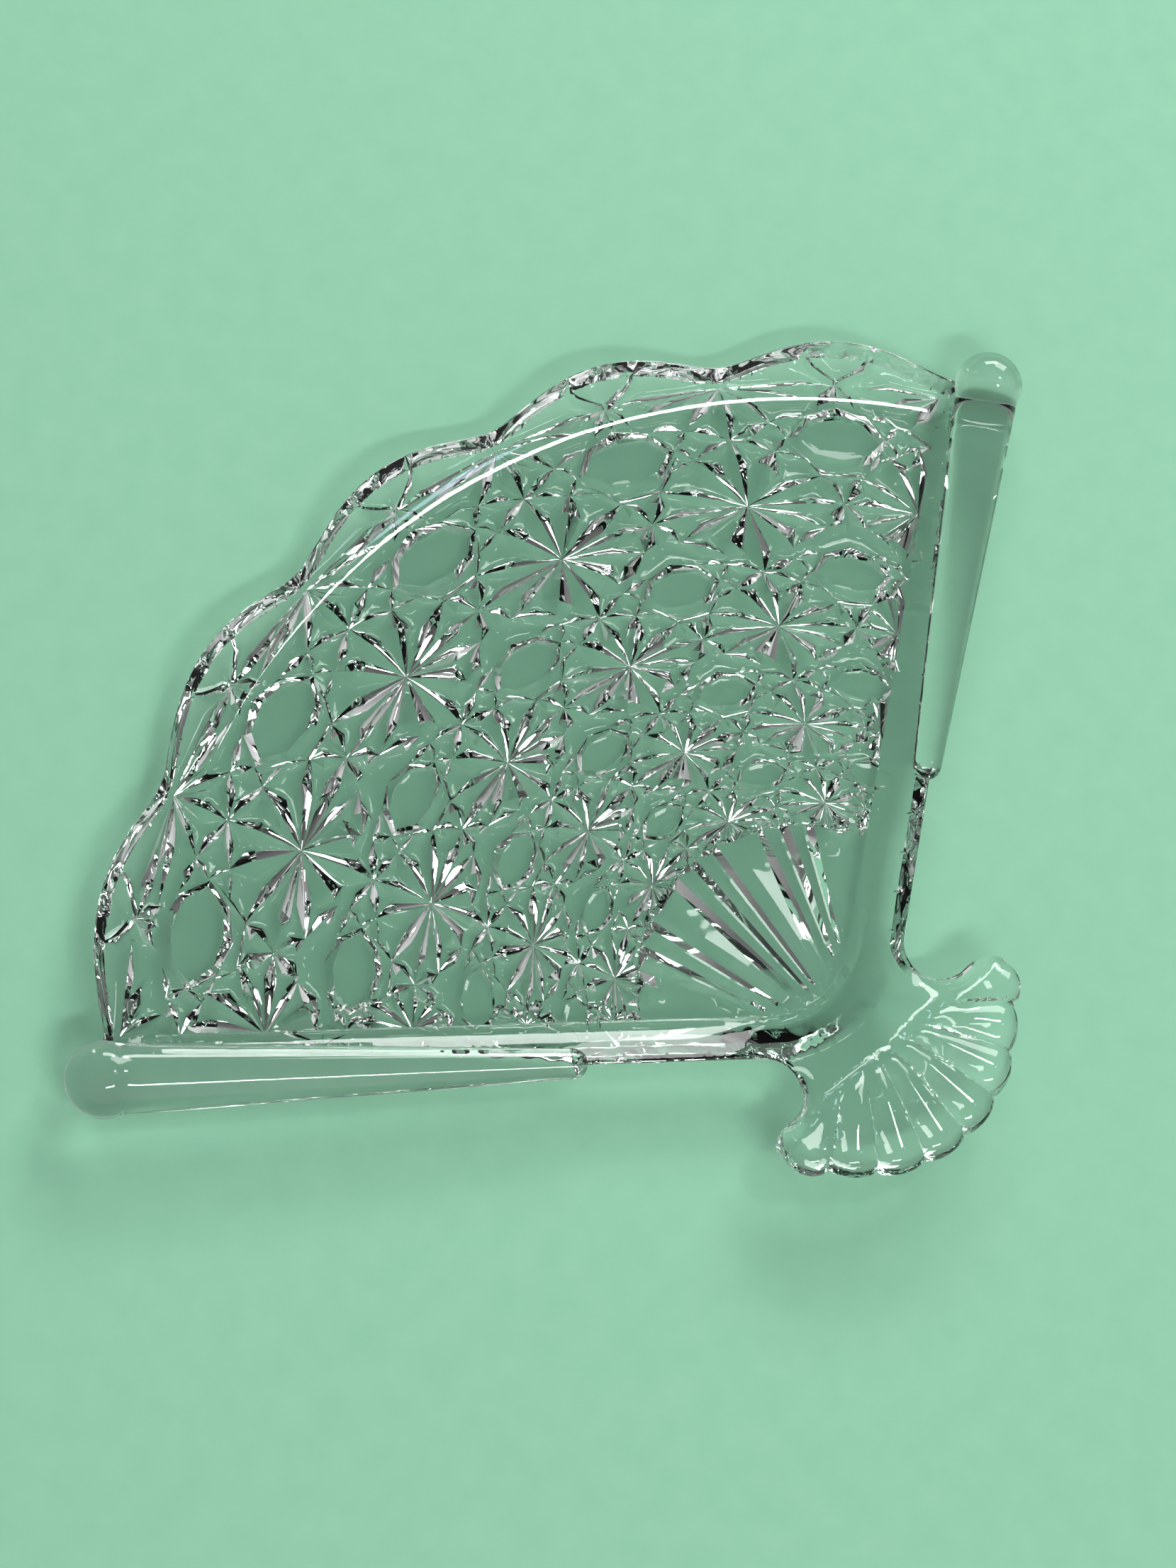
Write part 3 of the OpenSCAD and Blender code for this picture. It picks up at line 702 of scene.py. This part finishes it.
def glass_material(name, tint, wave, grain):
    """Clear glass with a faint ripple in its surface and faint wear in its gloss."""
    m = bpy.data.materials.new(name)
    m.use_nodes = True
    nt = m.node_tree
    nt.nodes.clear()
    out = nt.nodes.new("ShaderNodeOutputMaterial")
    glass = nt.nodes.new("ShaderNodeBsdfPrincipled")
    glass.inputs["Base Color"].default_value = (*tint, 1)
    glass.inputs["Transmission Weight"].default_value = 1.0
    glass.inputs["IOR"].default_value = 1.5
    where = nt.nodes.new("ShaderNodeTexCoord")
    ripple = nt.nodes.new("ShaderNodeTexNoise")
    ripple.inputs["Scale"].default_value = wave
    ripple.inputs["Detail"].default_value = 2.0
    bump = nt.nodes.new("ShaderNodeBump")
    bump.inputs["Strength"].default_value = 0.15
    bump.inputs["Distance"].default_value = 0.0004
    nt.links.new(where.outputs["Object"], ripple.inputs["Vector"])
    nt.links.new(ripple.outputs["Fac"], bump.inputs["Height"])
    nt.links.new(bump.outputs["Normal"], glass.inputs["Normal"])
    wear = nt.nodes.new("ShaderNodeTexNoise")
    wear.inputs["Scale"].default_value = grain
    span = nt.nodes.new("ShaderNodeMapRange")
    span.inputs["From Min"].default_value = 0.35
    span.inputs["From Max"].default_value = 0.75
    span.inputs["To Min"].default_value = 0.0
    span.inputs["To Max"].default_value = 0.03
    nt.links.new(where.outputs["Object"], wear.inputs["Vector"])
    nt.links.new(wear.outputs["Fac"], span.inputs["Value"])
    nt.links.new(span.outputs["Result"], glass.inputs["Roughness"])
    nt.links.new(glass.outputs["BSDF"], out.inputs["Surface"])
    return m


clear_glass = glass_material("clear_pressed_glass", (0.97, 0.99, 0.98), 90, 400)
body = glass_piece("fan_dish", body_mesh(), 24)
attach(body, "root")
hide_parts("pan_floor", "stick_panel", "scalloped_rim", "left_side_wall", "right_side_wall", "neck",
            "shell_handle")
for side, word in ((1, "right"), (-1, "left")):
    bar = glass_piece(word + "_bar", bar_mesh(side), 40)
    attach(bar, "root")
    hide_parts(word + "_guard_bar")

# Floor, just under the dish: plain paper with a faint mottle
floor = bpy.data.objects.new("floor", bpy.data.meshes.new("floor"))
floor.data.from_pydata([(x * 3, y * 3, 0) for x, y in ((-1, -1), (1, -1), (1, 1), (-1, 1))], [], [(0, 1, 2, 3)])
bpy.context.scene.collection.objects.link(floor)
floor.location.z = -0.0003
paper = bpy.data.materials.new("paper")
paper.use_nodes = True
pn = paper.node_tree
face = pn.nodes["Principled BSDF"]
face.inputs["Roughness"].default_value = 0.95
face.inputs["Specular IOR Level"].default_value = 0.1
mottle = pn.nodes.new("ShaderNodeTexNoise")
mottle.inputs["Scale"].default_value = 900
ramp = pn.nodes.new("ShaderNodeValToRGB")
ramp.color_ramp.elements[0].color = (0.27, 0.57, 0.39, 1)
ramp.color_ramp.elements[1].color = (0.31, 0.62, 0.43, 1)
pn.links.new(mottle.outputs["Fac"], ramp.inputs["Fac"])
pn.links.new(ramp.outputs["Color"], face.inputs["Base Color"])
floor.data.materials.append(paper)


def lamp(name, where, aim, size, power, color=(1, 1, 1)):
    data = bpy.data.lights.new(name, "AREA")
    data.shape = "RECTANGLE"
    data.size, data.size_y = size
    data.energy = power
    data.color = color
    ob = bpy.data.objects.new(name, data)
    ob.location = where
    ob.rotation_euler = (Vector(aim) - Vector(where)).to_track_quat("-Z", "Y").to_euler()
    bpy.context.scene.collection.objects.link(ob)


# The large lamps stay clear of the place that the flat top mirrors to the camera, and the small ones give sparkle
lamp("key", (1.35, 0.45, 0.95), (0, 0, 0), (0.8, 0.7), 12)
lamp("far_strip", (0.92, 0.87, 0.66), (0, 0, 0), (0.7, 0.3), 7)
lamp("near_strip", (-0.35, -0.78, 1.02), (0, 0, 0), (0.6, 0.10), 5)
lamp("spark", (0.465, -0.170, 1.1), (0.03, 0.03, 0), (0.09, 0.12), 1.0)
lamp("cool_spark", (0.504, -0.368, 1.1), (0.03, 0.03, 0), (0.10, 0.05), 0.15, (0.6, 0.8, 1.0))

# The room: bright behind the camera, darker beyond the dish
world = bpy.data.worlds.new("studio")
world.use_nodes = True
wn = world.node_tree
toward = wn.nodes.new("ShaderNodeTexCoord")
dot = wn.nodes.new("ShaderNodeVectorMath")
dot.operation = "DOT_PRODUCT"
dot.inputs[1].default_value = (-0.60, -0.78, 0.0)
span = wn.nodes.new("ShaderNodeMapRange")
span.inputs["From Min"].default_value = -1.0
room = wn.nodes.new("ShaderNodeValToRGB")
stops = room.color_ramp.elements
for at, grey in ((0.0, 0.06), (0.35, 0.15), (0.6, 0.5), (1.0, 1.0)):
    stop = stops[0] if at == 0 else stops[-1] if at == 1 else stops.new(at)
    stop.position, stop.color = at, (grey, grey, grey, 1)
wn.links.new(toward.outputs["Generated"], dot.inputs[0])
wn.links.new(dot.outputs["Value"], span.inputs["Value"])
wn.links.new(span.outputs["Result"], room.inputs["Fac"])
wn.links.new(room.outputs["Color"], wn.nodes["Background"].inputs["Color"])
bpy.context.scene.world = world

# The photo's camera, solved from the pattern: its lens, its place and its turn
FOCAL_PX, IMAGE_H, SENSOR = 4760.9, 2212, 36
cam_data = bpy.data.cameras.new("camera")
cam_data.sensor_width = SENSOR
cam_data.lens = FOCAL_PX / IMAGE_H * SENSOR
cam_data.clip_start = 0.01
cam = bpy.data.objects.new("camera", cam_data)
up, back = Vector((0.5696, 0.7506, 0.3348)), Vector((-0.4069, -0.0964, 0.9084)).normalized()
right = up.cross(back).normalized()
up = back.cross(right)
turn = Matrix((right, up, back)).transposed()
cam.matrix_world = Matrix.Translation((-0.2862, 0.0228 - ORIGIN_Y / 1000, 0.6249)) @ turn.to_4x4()
bpy.context.scene.collection.objects.link(cam)
bpy.context.scene.camera = cam
bpy.context.scene.view_settings.view_transform = "Standard"
